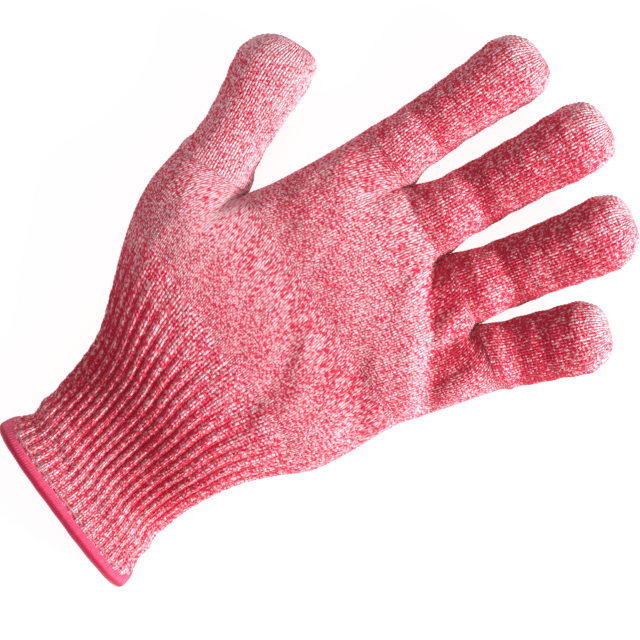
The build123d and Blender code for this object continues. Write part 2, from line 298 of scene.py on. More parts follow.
def makeYarnGroup():
    # each wale holds two slanting legs per course; a leg's height is (1 - across^2) * (bead * (1 - along^3)
    # + 1 - bead), and its two plies cross it at a slant; the ply's sine and four noises add up to a score
    group = newGroup(
        "marledStitches",
        [("Stitch", "NodeSocketVector", None), ("White Share", "NodeSocketFloat", 0.5),
         ("Run Length", "NodeSocketFloat", 0.25), ("Run Weight", "NodeSocketFloat", 0.6),
         ("Bead", "NodeSocketFloat", 0.6), ("Ply Turns", "NodeSocketFloat", 0.55)],
        [("White", "NodeSocketFloat"), ("Height", "NodeSocketFloat"), ("Gap Shade", "NodeSocketFloat"),
         ("Fleck", "NodeSocketFloat"), ("Tone", "NodeSocketFloat")])
    w = Wires(group)
    given = w.add("NodeGroupInput").outputs
    out = w.add("NodeGroupOutput").inputs
    apart = w.parts(given["Stitch"])
    # the loops aren't all one size: a slow wander of the stitch coordinates
    drift = w.add("ShaderNodeSeparateColor")
    w.put(drift.inputs[0], w.noise(given["Stitch"], marl["wander"], marl["wanderDetail"]).outputs["Color"])
    wale = w.math("ADD", apart[0], w.centred(drift.outputs[0], marl["driftAcross"]))
    course = w.math("ADD", apart[1], w.centred(drift.outputs[1], marl["driftAlong"]))
    x = w.math("SUBTRACT", w.math("FRACT", wale), 0.5)
    leg = w.math("ABSOLUTE", x)
    side = w.math("GREATER_THAN", x, 0.0)
    phase = w.math("SUBTRACT", course, w.math("MULTIPLY", leg, marl["legSlant"]))
    within = w.math("FRACT", phase)
    legNumber = w.math("ADD", w.math("MULTIPLY", w.math("FLOOR", wale), 2.0), side)
    chance = w.add("ShaderNodeTexWhiteNoise", noise_dimensions="3D")
    w.put(chance.inputs["Vector"], w.vector(legNumber, w.math("FLOOR", phase), marl["lotPlace"]))
    lots = w.add("ShaderNodeSeparateColor")
    w.put(lots.inputs[0], chance.outputs["Color"])
    first, second, third = lots.outputs[0], lots.outputs[1], lots.outputs[2]
    slant = w.math("MULTIPLY", leg, marl["plySlant"])
    turn = w.math("ADD", w.math("MULTIPLY", within, given["Ply Turns"]), slant)
    turn = w.math("ADD", turn, second)
    ply = w.math("SINE", w.math("MULTIPLY", turn, 2 * math.pi))

    def layer(name, along=None):
        # noise of (wale * across, course * along, place)
        look = marl[name]
        at = w.vector(w.math("MULTIPLY", wale, look["across"]),
                      w.math("MULTIPLY", course, along or look["along"]), look["place"])
        return w.noise(at, 1.0, look["detail"]).outputs["Fac"]

    fibre = layer("fibre")                      # loose fibres, finer than a leg
    runs = layer("runs", given["Run Length"])   # the same ply stays on top for several courses
    heads = layer("heads")                      # dashes across the wales, where a loop's head shows
    broad = layer("broad")                      # whole areas that are a little paler or redder
    score = w.math("ADD", w.math("MULTIPLY", ply, marl["plyWeight"]), w.centred(first, marl["lotWeight"]))
    score = w.math("ADD", score, w.centred(fibre, marl["fibre"]["weight"]))
    both = w.math("ADD", w.centred(runs, marl["runs"]["weight"]), w.centred(heads, marl["heads"]["weight"]))
    score = w.math("ADD", score, w.math("MULTIPLY", both, given["Run Weight"]))
    score = w.math("ADD", score, w.centred(broad, marl["broad"]["weight"]))
    score = w.math("ADD", score, w.math("SUBTRACT", given["White Share"], 0.5))
    w.put(out["White"], w.spread(score, marl["scoreLow"], marl["scoreHigh"], smooth=False))
    middle = w.math("MULTIPLY", w.math("ABSOLUTE", w.math("SUBTRACT", leg, 0.25)), 4.0)
    across = w.math("SUBTRACT", 1.0, w.math("POWER", middle, marl["legPower"]))
    ends = w.math("ABSOLUTE", w.math("SUBTRACT", w.math("MULTIPLY", within, 2.0), 1.0))
    bead = w.math("SUBTRACT", 1.0, w.math("POWER", ends, marl["beadPower"]))
    along = w.math("ADD", w.math("MULTIPLY", bead, given["Bead"]), w.math("SUBTRACT", 1.0, given["Bead"]))
    height = w.math("MULTIPLY", w.math("MAXIMUM", across, 0.0), along)
    strand = w.math("SINE", w.math("MULTIPLY", turn, marl["strands"] * 2 * math.pi))
    rough = w.math("ADD", height, w.math("MULTIPLY", strand, marl["strandHeight"]))
    w.put(out["Height"], w.math("ADD", rough, w.math("MULTIPLY", third, marl["lotHeight"])))
    # painted shade: the gap mask darkens where the legs are low, between them
    w.put(out["Gap Shade"], w.spread(height, 0.0, marl["gapShadeBelow"], 1.0, 0.0))
    w.put(out["Fleck"], w.math("GREATER_THAN", third, marl["fleckAbove"]))
    w.put(out["Tone"], w.math("ADD", w.math("MULTIPLY", third, marl["lotTone"]),
                              w.math("MULTIPLY", broad, marl["broadTone"])))
    return group


print("yarn and thread")
yarnGroup = makeYarnGroup()

# the two darker colours for low paleness are painted shade; the gap colour is painted shade between the legs;
# the valley colour is partly the ribs' own darker red and partly painted shade
yarnColours = {
    "red": (0.94, 0.034, 0.112, 1),
    "darkRed": (0.78, 0.014, 0.060, 1),
    "gapShadeRed": (0.50, 0.005, 0.022, 1),
    "valleyRedAndShade": (0.58, 0.008, 0.034, 1),
    "white": (1.0, 0.635, 0.70, 1),
    "paintedShadeRed": (0.42, 0.006, 0.032, 1),
    "paintedShadeWhite": (0.80, 0.29, 0.34, 1),
    "grey": (0.66, 0.44, 0.43, 1),
    "sheen": (1.0, 0.78, 0.82, 1),
}
# how far each colour goes over the ones before it, the paleness where the painted shade of slack knit starts
# and where it is whole, and the courses over which the ribs' red valleys, partly painted shade, fade towards
# the palm and the hem
knitMix = {"paintedShadeRed": 0.75, "paintedShadeWhite": 0.60, "fleck": 0.5, "valley": 0.55, "gap": 0.72,
           "shadeFrom": 0.50, "shadeTo": 0.18, "valleyFrom": 0.1, "valleyTo": -0.9, "valleyShare": 0.35,
           "palmCourses": (44, 58), "hemCourses": (4, 20), "hemValley": 0.55}
knitSurface = {"roughness": (0.72, 0.95), "bump": 0.8, "sheen": 0.12, "sheenRoughness": 0.45,
               "specular": 0.25}


def newMaterial(name):
    # a material with its shader, and its stitch coordinates whole and in parts
    material = bpy.data.materials.new(name)
    material.use_nodes = True
    w = Wires(material.node_tree)
    uv = w.add("ShaderNodeUVMap", uv_map="Stitch").outputs[0]
    return material, w, material.node_tree.nodes["Principled BSDF"].inputs, uv, w.parts(uv)


def putBump(w, shader, height, strength, distance):
    # the height moves the normal of the shader
    bump = w.add("ShaderNodeBump")
    bump.inputs["Strength"].default_value = strength
    bump.inputs["Distance"].default_value = distance
    w.put(bump.inputs["Height"], height)
    w.put(shader["Normal"], bump.outputs[0])


def makeKnitMaterial(name, whiteShare, runLength, runWeight, bumpDistance, beadShare=0.6, plyTurns=0.55,
                     ribs=False):
    # the yarn group's masks lay red, white, grey flecks, red rib valleys (partly painted shade) and dark gaps
    # of painted shade over one another
    material, w, shader, uv, apart = newMaterial(name)
    yarn = w.add("ShaderNodeGroup", node_tree=yarnGroup)
    w.put(yarn.inputs["Stitch"], uv)
    for label, value in (("Run Length", runLength), ("Run Weight", runWeight), ("Bead", beadShare),
                         ("Ply Turns", plyTurns)):
        yarn.inputs[label].default_value = value
    # painted light and shade: the paleness gives more of the white ply on faces towards the key light and
    # over pads, less in folds and pockets
    paintedPale = w.add("ShaderNodeAttribute", attribute_name="PaleWithPaintedLight").outputs["Fac"]
    share = w.math("ADD", paintedPale, whiteShare - 0.5)
    mask = yarn.outputs
    if ribs:
        around = w.math("SUBTRACT", w.math("MULTIPLY", apart[0], 1 / cuff["ribWales"]), cuff["ribStart"])
        wave = w.math("COSINE", w.math("MULTIPLY", around, 2 * math.pi))
        valley = w.math("MULTIPLY", w.spread(wave, knitMix["valleyFrom"], knitMix["valleyTo"]),
                        w.spread(apart[1], *knitMix["palmCourses"], 1.0, 0.0))
        nearHem = w.spread(apart[1], *knitMix["hemCourses"], knitMix["hemValley"], 1.0)
        valley = w.math("MULTIPLY", valley, nearHem)
        share = w.math("SUBTRACT", share, w.math("MULTIPLY", valley, knitMix["valleyShare"]))
    w.put(yarn.inputs["White Share"], share)
    # painted shade: where the paleness is low, the red and the white are mixed towards darker colours
    slackShade = w.spread(paintedPale, knitMix["shadeFrom"], knitMix["shadeTo"])
    red = w.mix(mask["Tone"], yarnColours["darkRed"], yarnColours["red"])
    red = w.mix(w.math("MULTIPLY", slackShade, knitMix["paintedShadeRed"]), red, yarnColours["paintedShadeRed"])
    white = w.mix(w.math("MULTIPLY", slackShade, knitMix["paintedShadeWhite"]), yarnColours["white"],
                  yarnColours["paintedShadeWhite"])
    colour = w.mix(mask["White"], red, white)
    colour = w.mix(w.math("MULTIPLY", mask["Fleck"], knitMix["fleck"]), colour, yarnColours["grey"])
    if ribs:
        # the rib valleys' red: partly their own darker colour, partly painted shade
        colour = w.mix(w.math("MULTIPLY", valley, knitMix["valley"]), colour, yarnColours["valleyRedAndShade"])
    # painted shade in the gaps between the legs
    colour = w.mix(w.math("MULTIPLY", mask["Gap Shade"], knitMix["gap"]), colour, yarnColours["gapShadeRed"])
    w.put(shader["Base Color"], colour)
    w.put(shader["Roughness"], w.spread(mask["Gap Shade"], 0, 1, *knitSurface["roughness"], False))
    putBump(w, shader, mask["Height"], knitSurface["bump"], bumpDistance)
    shader["Sheen Weight"].default_value = knitSurface["sheen"]
    shader["Sheen Roughness"].default_value = knitSurface["sheenRoughness"]
    shader["Sheen Tint"].default_value = yarnColours["sheen"]
    shader["Specular IOR Level"].default_value = knitSurface["specular"]
    return material


# spun thread: how its strands slant, its noise, and its surface
threadLook = {"slant": 2.0, "noiseScale": 0.9, "noiseDetail": 3.0, "strand": 0.35, "from": 0.25, "to": 0.80,
              "stripeCore": 0.3, "stripeMost": 0.9, "bump": 0.5, "bumpDistance": 0.0003,
              "roughness": 0.7, "sheen": 0.3, "sheenRoughness": 0.4, "specular": 0.3}


def makeThreadMaterial(name, light, dark, alongScale, stripe=None):
    # light and dark mixed by the sine of a slanting coordinate plus noise
    material, w, shader, uv, apart = newMaterial(name)
    look = threadLook
    slant = w.math("ADD", w.math("MULTIPLY", apart[0], alongScale),
                   w.math("MULTIPLY", apart[1], look["slant"]))
    strand = w.math("SINE", w.math("MULTIPLY", slant, 2 * math.pi))
    noise = w.noise(uv, look["noiseScale"], look["noiseDetail"]).outputs["Fac"]
    score = w.math("ADD", w.math("MULTIPLY", strand, look["strand"]), noise)
    colour = w.mix(w.spread(score, look["from"], look["to"]), dark, light)
    if stripe:
        # a deeper red band along one side of the bead
        off = w.math("ABSOLUTE", w.math("SUBTRACT", apart[0], stripe["place"]))
        core = stripe["reach"] * look["stripeCore"]
        band = w.spread(off, stripe["reach"], core, 0.0, look["stripeMost"])
        colour = w.mix(band, colour, stripe["colour"])
    w.put(shader["Base Color"], colour)
    putBump(w, shader, w.math("ADD", strand, noise), look["bump"], look["bumpDistance"])
    shader["Roughness"].default_value = look["roughness"]
    shader["Sheen Weight"].default_value = look["sheen"]
    shader["Sheen Roughness"].default_value = look["sheenRoughness"]
    shader["Specular IOR Level"].default_value = look["specular"]
    return material


overlockThread = makeThreadMaterial(
    "redOverlockThread", light=(1.0, 0.155, 0.32, 1), dark=(0.84, 0.018, 0.085, 1), alongScale=1.0,
    stripe={"place": 0.46, "reach": 0.52, "colour": (0.52, 0.004, 0.040, 1)})
needleThread = makeThreadMaterial(
    "redNeedleThread", light=(1.0, 0.42, 0.50, 1), dark=(0.90, 0.14, 0.22, 1), alongScale=3.0)
elasticThread = makeThreadMaterial(
    "coveredElastic", light=(0.86, 0.74, 0.75, 1), dark=(0.55, 0.30, 0.34, 1), alongScale=2.0)

# station: distance along, left x, left y, right x, right y, underside, top
lowerStations = np.array([
    (-1.6, -34.0, -2.9, 35.2, 1.0, 1.0, 27.4),
    (8.0, -33.4, 6.8, 33.0, 9.2, 1.2, 26.0),
    (20.0, -36.0, 19.4, 28.6, 20.6, 1.0, 23.6),
    (32.0, -39.3, 31.8, 27.4, 32.2, 0.6, 24.0),
    (44.0, -44.4, 43.8, 27.8, 44.2, 0.3, 27.6),
    (56.0, -54.5, 55.8, 29.8, 56.2, 0.0, 30.2),
    (68.0, -65.4, 67.6, 34.6, 68.4, 0.0, 31.9),
    (80.0, -74.6, 79.4, 40.2, 80.6, 0.0, 33.0),
    (92.0, -80.4, 90.0, 42.3, 94.0, 0.0, 33.2),
    (102.0, -83.0, 98.0, 42.7, 106.0, 0.0, 32.6),
    (110.6, -84.7, 104.5, 43.6, 117.0, 0.0, 31.5),
])
# station: share of the way, left x, left y, right x, right y, middle height, height above, below
upperStations = np.array([
    (0.00, -57.0, 117.0, 43.6, 117.0, 13.4, 18.1, 13.4),
    (0.18, -55.2, 125.5, 45.8, 124.6, 13.2, 17.9, 13.2),
    (0.38, -54.2, 135.0, 48.2, 133.4, 12.6, 16.6, 12.6),
    (0.62, -53.3, 147.0, 50.8, 143.4, 11.6, 14.0, 11.6),
    (0.84, -52.8, 158.0, 52.8, 150.4, 10.6, 11.2, 10.6),
    (1.00, -52.8, 166.0, 53.8, 154.4, 10.2, 10.0, 9.9),
])
# rings are given as middle height, height above and height below; ovals as half width, above and below
palmShape = {
    "middleShare": 0.425,       # height of the widest line, as a share of the thickness
    "topPower": 2.7, "backPower": 3.4, "lobePower": 2.15,
    "lowerOval": (52, 17, 13), "upperOval": (50.3, 18.1, 13.4),
    "palmWales": 64, "thumbWales": 20,      # wales on the palm side; the back has as many
    "thumbEnds": ((-84.7, 104.5), (-57.0, 117.0)), "thumbRing": (13.4, 10.6, 12.9),
    "crotches": ((-52.8, 166.0), (-26.2, 168.4), (2.0, 165.4), (29.2, 160.2), (53.8, 154.4)),
    "fingerWales": (16, 17, 16, 15), "fingerRing": (10.2, 10.0, 9.9),
    "forkFrom": 88, "forkAt": 110.6, "forkPower": 3.4,      # where the tube parts for the thumb
    "partFrom": 0.5, "partPower": 2.0,                      # and for the fingers, as a share of the way
    "lowerLength": 33, "upperLength": 47, "lowerLiningRows": 24, "upperLiningRows": 48,
    "joinFade": 1.2, "ringFade": 0.02,      # the stitch relief fades out where pieces meet
}


def drawnIn(a, b, inset):
    # the two ends of a line, moved towards each other by inset
    a, b = np.asarray(a, float), np.asarray(b, float)
    step = unit(b - a) * inset
    return a + step, b - step


def ovalTube(left, right, middle, above, below, oval, wales, perWale):
    # one closed ring per row, over the top and back underneath: centre + half width * x, then
    # middle + above * z or middle - below * z, with x and z from the two superellipse profiles
    halfWidth, high, low = oval
    topX, topZ = evenProfile(halfWidth, high, palmShape["topPower"], wales * perWale)
    backX, backZ = evenProfile(halfWidth, low, palmShape["backPower"], wales * perWale)
    centre = (left + right) / 2
    half = (right - left) / 2
    x = np.concatenate([topX[:-1], -backX[:-1]])
    up = np.concatenate([topZ[:-1], np.zeros(len(backZ) - 1)])
    down = np.concatenate([np.zeros(len(topZ) - 1), backZ[:-1]])
    xy = centre[:, None, :] + half[:, None, :] * x[None, :, None]
    z = middle[:, None] + above[:, None] * up[None] - below[:, None] * down[None]
    return np.concatenate([xy, z[..., None]], 2)


def lobeRing(lobes, perWale):
    # rings that touch, side by side: all tops from left to right, then all backs the other way, each
    # centre +- half * x and middle +- height * z
    top, back = [], []
    for a, b, wales, (middle, above, below) in lobes:
        half = (b - a) / 2
        for part, height, way in ((top, above, 1), (back, below, -1)):
            x, z = evenProfile(np.linalg.norm(b - a) / 2, height, palmShape["lobePower"], wales * perWale)
            ring = np.column_stack([(a + b) / 2 + way * half * x[:, None], middle + way * height * z])
            part.append(ring[:-1])
    return np.concatenate(top + back[::-1])


def inLobe(ends, ring, wales, inset):
    # one lobe for lobeRing, with its wall moved in by inset
    a, b = drawnIn(ends[0], ends[1], inset)
    middle, above, below = ring
    return a, b, wales, (middle, above - inset, below - inset)


def stationColumns(stations, along, inset):
    # smooth curves through the stations: left ends, right ends, and the heights after them
    columns = [through(stations[:, 0], stations[:, k], along) for k in range(1, stations.shape[1])]
    left, right = drawnIn(np.stack(columns[0:2], 1), np.stack(columns[2:4], 1), inset)
    return left, right, columns[4:]


def partInto(ring, target, share):
    # rings that turn into the target ring: ring * (1 - share) + target * share
    return ring * (1 - share[:, None, None]) + target[None] * share[:, None, None]


def lowerTube(along, perWale, inset=0.0):
    # cuff, wrist and lower palm: oval rings that part into the thumb's ring and the palm's
    s = palmShape
    left, right, (under, top) = stationColumns(lowerStations, along, inset)
    under, top = under + inset, top - inset
    middle = under + (top - under) * s["middleShare"]
    ring = ovalTube(left, right, middle, top - middle, middle - under, s["lowerOval"],
                    s["palmWales"] + s["thumbWales"], perWale)
    share = ease((along - s["forkFrom"]) / (s["forkAt"] - s["forkFrom"])) ** s["forkPower"]
    thumb = lobeRing([inLobe(s["thumbEnds"], s["thumbRing"], s["thumbWales"], inset)], perWale)
    half = len(thumb) // 2
    palm = upperTube(np.zeros(1), perWale, inset)[0]
    return partInto(ring, np.concatenate([thumb[:half], palm, thumb[half:]]), share)


def upperTube(share, perWale, inset=0.0):
    # upper palm: oval rings that part into the four finger rings
    s = palmShape
    left, right, (middle, above, below) = stationColumns(upperStations, share, inset)
    ring = ovalTube(left, right, middle, above - inset, below - inset, s["upperOval"],
                    s["palmWales"], perWale)
    part = ease((share - s["partFrom"]) / (1 - s["partFrom"])) ** s["partPower"]
    fingers = [inLobe(ends, s["fingerRing"], wales, inset)
               for ends, wales in zip(zip(s["crotches"], s["crotches"][1:]), s["fingerWales"])]
    return partInto(ring, lobeRing(fingers, perWale), part)


# folds on the palm side. Each runs along x or y on a line through stations; distances from the line are
# narrowed to measure square to it; rolls are offset from the line, width and height; a ledge is a height
# and the eased distances that it lies between; the fold is there inside its window, or as deep as its
# depth stations say
folds = {
    "padEdge": {
        "runs": "x", "line": ((-60, -34, -26, -16, -8, 0, 5, 10, 20, 34, 44, 56),
                              (176, 172, 165, 159.5, 160, 163, 154, 149, 143.5, 133, 127, 120)),
        "narrow": ((-20, 4, 20, 47), (0.95, 0.8, 0.82, 0.85)),
        "depth": ((-34, -24, -10, 2, 12, 30, 44, 52), (0.0, 0.55, 0.45, 0.9, 1.0, 1.0, 0.8, 0.0)),
        "rolls": ((-6.5, 5.5, 2.1), (2.2, 3.4, -3.0)), "ledge": (-1.2, 0, 3, 16, 12)},
    "thenarFold": {
        "runs": "y", "line": ((56, 67, 83, 92, 100, 109, 120), (15, 14, 13, 9, 4, -7, -22)),
        "narrow": ((0,), (0.79,)), "window": (52, 14, 116, 22),
        "rolls": ((3.5, 5.0, 1.0), (-4.5, 5.5, -1.2), (12, 6, -0.6))},
    "acrossFold": {
        "runs": "x", "line": ((-14, 4, 23, 39, 52), (133, 126, 114, 105, 98)),
        "narrow": ((0,), (0.8,)), "window": (2, 26, 56, 10),
        "rolls": ((5.5, 5.5, 1.2), (-4.0, 6.0, -1.8))},
    "webFold": {
        "runs": "x", "line": ((-60, -46, -30, -12), (114, 121, 122, 116)),
        "narrow": ((0,), (1.0,)), "window": (-54, 10, -8, 20), "rolls": ((0, 6.0, -0.4),)},
}
# soft round mounds in mm: x, y, reach across, reach along, height
mounds = ((-34, 143, 13, 13, 1.7), (-60, 92, 18, 22, 1.6), (28, 84, 15, 18, 1.4))
# painted highlights and shade: places painted paler over a pad, or darker beside one, in the same way
paintedPads = ((-59, 102, 16, 17, 0.18), (-29, 151, 9, 9, 0.06), (-43, 130, 12, 9, -0.12), (-38, 160, 10, 7, -0.07),
        (18, 106, 12, 12, -0.09), (-62, 84, 14, 14, 0.07))
# shallow puckers of an empty knit: height, then x, y and start of the first wave and of the second
palmPuckers = ((0.26, 0.33, 0.11, 1.3, -0.08, 0.27, 0), (0.18, 0.71, -0.23, 0, 0, 0.55, 0.4))
backPuckers = ((0.22, 0.21, 0, 0.6, 0.05, 0.12, 0),)


def roundPatches(x, y, patches):
    # sum of amount * bell curve of the distance from each patch
    return sum(amount * hump(np.hypot((x - px) / wide, (y - py) / long), 1.0)
               for px, py, wide, long, amount in patches)


def puckers(x, y, waves):
    # sum of height * sine * sine, two waves that cross
    return sum(high * np.sin(a * x + b * y + c) * np.sin(d * x + e * y + f)
               for high, a, b, c, d, e, f in waves)


def palmRelief(x, y):
    # heights in mm added to the palm side: mounds + puckers + for each fold here * (sum of rolls + ledge)
    z = roundPatches(x, y, mounds) + puckers(x, y, palmPuckers)
    for fold in folds.values():
        along, over = (x, y) if fold["runs"] == "x" else (y, x)
        q = (over - np.interp(along, *fold["line"])) * np.interp(along, *fold["narrow"])
        here = between(along, *fold["window"]) if "window" in fold else np.interp(along, *fold["depth"])
        shape = sum(high * hump(q - offset, wide) for offset, wide, high in fold["rolls"])
        if "ledge" in fold:
            shape = shape + fold["ledge"][0] * between(q, *fold["ledge"][1:])
        z = z + here * shape
    return z


# the hollow past the pad's edge: heights of its floor and rim, the distance between them, where it starts
# from the edge and over how far, the distance over which its painted shade deepens from the rim, and its
# share of that depth at stations along x
pocket = {"floor": 18.2, "rim": 20.2, "reach": 14.0, "from": -2.8, "over": 8.0, "rimShade": 3.0,
          "depth": ((-3, 4, 18, 22.5, 26, 30, 39, 45, 50), (0, 1, 1, 0.2, 0.15, 0.9, 1, 0.3, 0))}


def beforeCrotch(x, y):
    # distance from a point of the palm to the line through the crotches
    ends = np.array(palmShape["crotches"])
    return np.interp(x, ends[:, 0], ends[:, 1]) - y


def pocketDrop(x, y, z):
    # the empty knit sinks to a low floor that climbs again to the finger rings: how far each point drops,
    # share * (z - low), and how much painted shade it gets, more the deeper in the pocket it lies
    before = np.clip(beforeCrotch(x, y), 0, None)
    low = pocket["rim"] + (pocket["floor"] - pocket["rim"]) * ease(before / pocket["reach"])
    edge = np.interp(x, *folds["padEdge"]["line"])
    here = ease((y - edge - pocket["from"]) / pocket["over"]) * np.interp(x, *pocket["depth"])
    return here * np.clip(z - low, 0, None), here * (0.5 + 0.5 * ease(before / pocket["rimShade"]))


# lengths over which the relief fades towards the finger rings and the thumb's, and how steeply a face has
# to look up or down before the palm's or the back's relief is whole on it
reliefEnds = {"fingers": 4.0, "thumb": 7, "thumbSide": 3, "facing": 0.6}


def beforeRings(x, y):
    # 1 on the palm, easing to 0 at the lines where the fingers' and the thumb's rings begin
    e = reliefEnds
    a, b = np.array(palmShape["thumbEnds"])
    out = unit(b - a)
    past = (x - a[0]) * -out[1] + (y - a[1]) * out[0]
    onThumb = ease((b[0] + e["thumbSide"] - x) / (2 * e["thumbSide"]))
    return ease(beforeCrotch(x, y) / e["fingers"]) * (1 - onThumb * ease((past + e["thumb"]) / e["thumb"]))


def addTubeRelief(p, fade, inset=0.0):
    # palm relief lifts the upper half of each ring, ripples press into the lower half
    n = gridNormals(p)
    upward = ease(n[..., 2] / reliefEnds["facing"])
    downward = ease(-n[..., 2] / reliefEnds["facing"])
    x, y = p[..., 0], p[..., 1]
    lift = upward * palmRelief(x, y) + downward * np.abs(puckers(x, y, backPuckers))
    out = p.copy()
    out[..., 2] += lift * beforeRings(x, y) * fade[:, None]
    out[..., 2] -= upward * pocketDrop(x, y, out[..., 2] + inset)[0]
    return out


# share of white by slope, painted light and shade: 0.5 is plain; faces that look along +Y or +X, towards the
# key light, are painted paler, and pockets are painted darker
paintedLightTone = {"smoothing": 4, "facing": 0.4, "towardsKeyLightY": 0.85, "towardsKeyLightX": 0.25, "slope": 0.30, "pocket": 0.30,
        "backShare": 0.3, "least": 0.12, "most": 0.85}


def paintedPaleness(p, by=0.0):
    # painted light and shade: 0.5 + by + upward * (slope * weighted normal - pocket + pads); a darker tone is
    # weaker on the back
    n = gridNormals(p)
    for k in range(3):
        n[..., k] = smoothRows(n[..., k], paintedLightTone["smoothing"])
    x, y = p[..., 0], p[..., 1]
    upward = ease(n[..., 2] / paintedLightTone["facing"])
    slope = n[..., 1] * paintedLightTone["towardsKeyLightY"] + n[..., 0] * paintedLightTone["towardsKeyLightX"]
    by = np.where(np.less(by, 0), by * (paintedLightTone["backShare"] + (1 - paintedLightTone["backShare"]) * upward), by)
    pocketShade = pocketDrop(x, y, p[..., 2])[1]
    change = paintedLightTone["slope"] * slope - paintedLightTone["pocket"] * pocketShade + roundPatches(x, y, paintedPads)
    return np.clip(0.5 + by + change * upward, paintedLightTone["least"], paintedLightTone["most"])


def smoothRows(values, times):
    # running mean over three neighbours both ways
    for _ in range(times):
        values = (values + np.roll(values, 1, 1) + np.roll(values, -1, 1)) / 3
        values[1:-1] = (values[1:-1] + values[:-2] + values[2:]) / 3
    return values


def restOnFloor(p, limit=0.5):
    # heights under the limit are squeezed towards the floor: limit * e^((z - limit) / limit)
    out = p.copy()
    squeezed = limit * np.exp((np.minimum(p[..., 2], limit) - limit) / limit)
    out[..., 2] = np.where(p[..., 2] < limit, squeezed, p[..., 2])
    return out


def rowsFor(start, end, length):
    # rows spaced so that a whole number of them makes up each course, and the number of courses
    count = max(int(round(length / fabric["course"])), 2) * fabric["rowsPerCourse"]
    return np.linspace(start, end, count + 1), count / fabric["rowsPerCourse"]


def outerGrid(p, course, paintedPale):
    # the face that is seen: one stitch coordinate per wale and course
    columns = p.shape[1]
    return {"p": p, "bake": bakeOuter, "stitchV": course, "paintedPale": paintedPale,
            "stitchU": np.linspace(0, columns / fabric["columnsPerWale"], columns + 1)}


def liningGrid(p, wales):
    # the face inside, coarser and turned inward
    return {"p": p, "inward": True, "bake": bakeLining, "stitchU": np.linspace(0, wales, p.shape[1] + 1),
            "stitchV": np.linspace(0, p.shape[0] * 1.0, p.shape[0])}


def raised(p, n, wale, course, fade):
    # p + normal * stitch relief * fade
    return p + n * (knitRelief(wale[None], course[:, None], fabric["relief"]) * fade)[..., None]


def resampleRing(p, count):
    # same rings with another number of columns, evenly spread along each ring
    closed = np.concatenate([p, p[:, :1]], 1)
    run = np.linalg.norm(np.diff(closed, axis=1), axis=2)
    run = np.concatenate([np.zeros((len(p), 1)), np.cumsum(run, 1)], 1)
    out = np.empty((len(p), count, 3))
    for r in range(len(p)):
        even = np.linspace(0, run[r, -1], count, endpoint=False)
        for k in range(3):
            out[r, :, k] = np.interp(even, run[r], closed[r, :, k])
    return out


# the ribbed tube of cuff and wrist; a waist has where it starts, its rise, where it ends and its fall
cuff = {
    "edge": -1.6, "end": 36.0, "wristEnd": 78.0,            # distances along
    "ribs": 44, "ribWales": 2, "ribStart": 0.25, "ribHeight": 1.5, "ribPower": 0.65, "ribLevel": 0.62,
    "ribFade": (52, 24), "palmFade": (52, 22),              # start and length of the change to plain knit
    "ribDrift": (0.18, 0.16, 9, 1), "hemRibs": (0.45, 6, 20),       # ribs differ, and are lower by the hem
    "waist": (14, 14, 62, 18), "hemPale": (5, 4), "gatherPale": (7, 3),
    "paintedLightBy": {"hem": 0.16, "gather": -0.06, "waist": -0.135, "all": -0.025},
    "gather": ((-1.6, 2, 5, 8.5, 12, 14.6, 18, 23, 30, 36), (0.1, 0.9, 0.4, -0.8, 0.2, 0.6, -0.3, 0.1, 0, 0)),
    "gatherWaves": (0.5, 7), "draws": (0.12, 1.5, 2.5),     # ripples where the elastic draws the knit in
    "edgeRise": 1.5, "liningRows": 24, "liningWales": 212,
}


